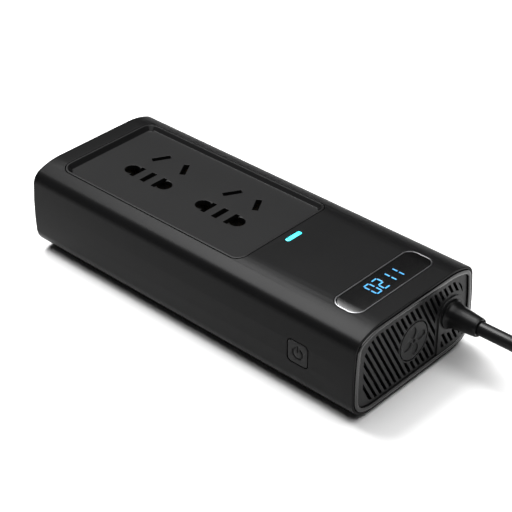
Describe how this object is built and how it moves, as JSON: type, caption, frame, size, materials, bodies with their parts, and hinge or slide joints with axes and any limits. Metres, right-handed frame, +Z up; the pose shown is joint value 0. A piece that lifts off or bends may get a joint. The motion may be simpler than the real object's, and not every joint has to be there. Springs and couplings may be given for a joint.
{
  "type": "power inverter",
  "caption": "Slim car power inverter with mains sockets on top, a digital display, a side power button, a fan behind slanted vents and a coiled lead ending in a vehicle plug.",
  "frame": {"origin": "middle of the case's footprint, on the surface its feet stand on", "axes": "+X along the case towards the vented end where the lead leaves, +Y towards the side the lead is on (the button is on the other side), +Z up"},
  "size_m": [0.329, 0.1024, 0.0394],
  "materials": {
    "case_coating": "fine satin black coating",
    "end_plastic": "satin black",
    "grille_plastic": "satin dark grey",
    "panel_plastic": "fine-grained matte black",
    "inner_plastic": "matte dark grey",
    "button_plastic": "satin black",
    "window_glass": "glossy black window",
    "trim_bright": "bright thin frame",
    "digit_light": "lit blue figures",
    "status_lens": "lit cyan lens",
    "foot_rubber": "matte black",
    "cord_rubber": "semi-gloss black",
    "plug_plastic": "semi-gloss black",
    "nose_plastic": "satin black",
    "nickel": "bright nickel",
    "spring_steel": "bright spring wire",
    "screw_steel": "zinc plated",
    "black_screw": "black oxide",
    "contact_brass": "bright rolled strip",
    "post_brass": "turned",
    "board_green": "green solder mask",
    "switch_metal": "pressed shell",
    "ferrite": "dull grey ferrite",
    "coil_tape": "yellow tape over the winding",
    "heatsink_metal": "plain extruded",
    "epoxy_black": "moulded epoxy",
    "capacitor_sleeve": "shrunk sleeve",
    "film_yellow": "smooth box",
    "copper_winding": "enamelled wire",
    "fuse_green": "clear coloured blade fuse",
    "wire_red": "smooth insulation",
    "wire_black": "smooth insulation",
    "fan_plastic": "satin black",
    "fuse_glass": "clear tube with metal caps"
  },
  "bodies": {
    "case": {"housing_sleeve": "case_coating", "front_bezel": "end_plastic", "rear_cap": "end_plastic", "front_grille": "grille_plastic", "emblem_disc": "grille_plastic", "socket_panel": "panel_plastic", "socket_carrier": "inner_plastic", "display_window": "window_glass", "display_trim": "trim_bright", "display_digits": "digit_light", "status_light": "status_lens", "rubber_feet": "foot_rubber", "strain_relief": "cord_rubber", "cord": "cord_rubber", "cord_coil": "cord_rubber", "cord_tail": "cord_rubber", "plug_body": "plug_plastic", "plug_nose_ring": "nose_plastic", "plug_spring": "spring_steel", "carrier_screws": "screw_steel", "board_screws": "screw_steel", "fan_screws": "screw_steel", "end_screws": "black_screw", "live_contacts": "contact_brass", "neutral_contacts": "contact_brass", "earth_contacts": "contact_brass", "board_posts": "post_brass", "main_board": "board_green", "display_board": "board_green", "light_board": "board_green", "button_board": "board_green", "tact_switch": "switch_metal", "transformer_core": "ferrite", "transformer_coil": "coil_tape", "heatsink_left": "heatsink_metal", "heatsink_right": "heatsink_metal", "power_transistors": "epoxy_black", "control_chips": "epoxy_black", "bulk_capacitor": "capacitor_sleeve", "input_capacitors": "capacitor_sleeve", "film_capacitors": "film_yellow", "filter_choke": "copper_winding", "input_fuse": "fuse_green", "input_lead_red": "wire_red", "input_lead_black": "wire_black", "fan_frame": "fan_plastic", "plug_fuse": "fuse_glass"},
    "button": {"power_button": "button_plastic"},
    "fan": {"fan_rotor": "fan_plastic"},
    "tip": {"plug_tip": "nickel"},
    "contact_left": {"plug_contact_left": "nickel"},
    "contact_right": {"plug_contact_right": "nickel"}
  },
  "joints": [
    {"name": "button_press", "type": "slide", "parent": "case", "child": "button", "axis": [0, 1, 0], "range_m": [0, 0.0008], "stiffness_N_per_m": 1200, "springref_m": -0.0005},
    {"name": "fan_spin", "type": "hinge", "parent": "case", "child": "fan", "pos_m": [0.079, -0.01, 0.0203], "axis": [1, 0, 0], "continuous": true},
    {"name": "plug_tip_press", "type": "slide", "parent": "case", "child": "tip", "axis": [0, 1, 0], "range_m": [0, 0.0025], "stiffness_N_per_m": 800, "springref_m": -0.0025, "deforming": ["plug_spring"]},
    {"name": "contact_left_press", "type": "slide", "parent": "case", "child": "contact_left", "axis": [-1, 0, 0], "range_m": [0, 0.0012], "stiffness_N_per_m": 1500, "springref_m": -0.0005},
    {"name": "contact_right_press", "type": "slide", "parent": "case", "child": "contact_right", "axis": [1, 0, 0], "range_m": [0, 0.0012], "stiffness_N_per_m": 1500, "springref_m": -0.0005}
  ]
}
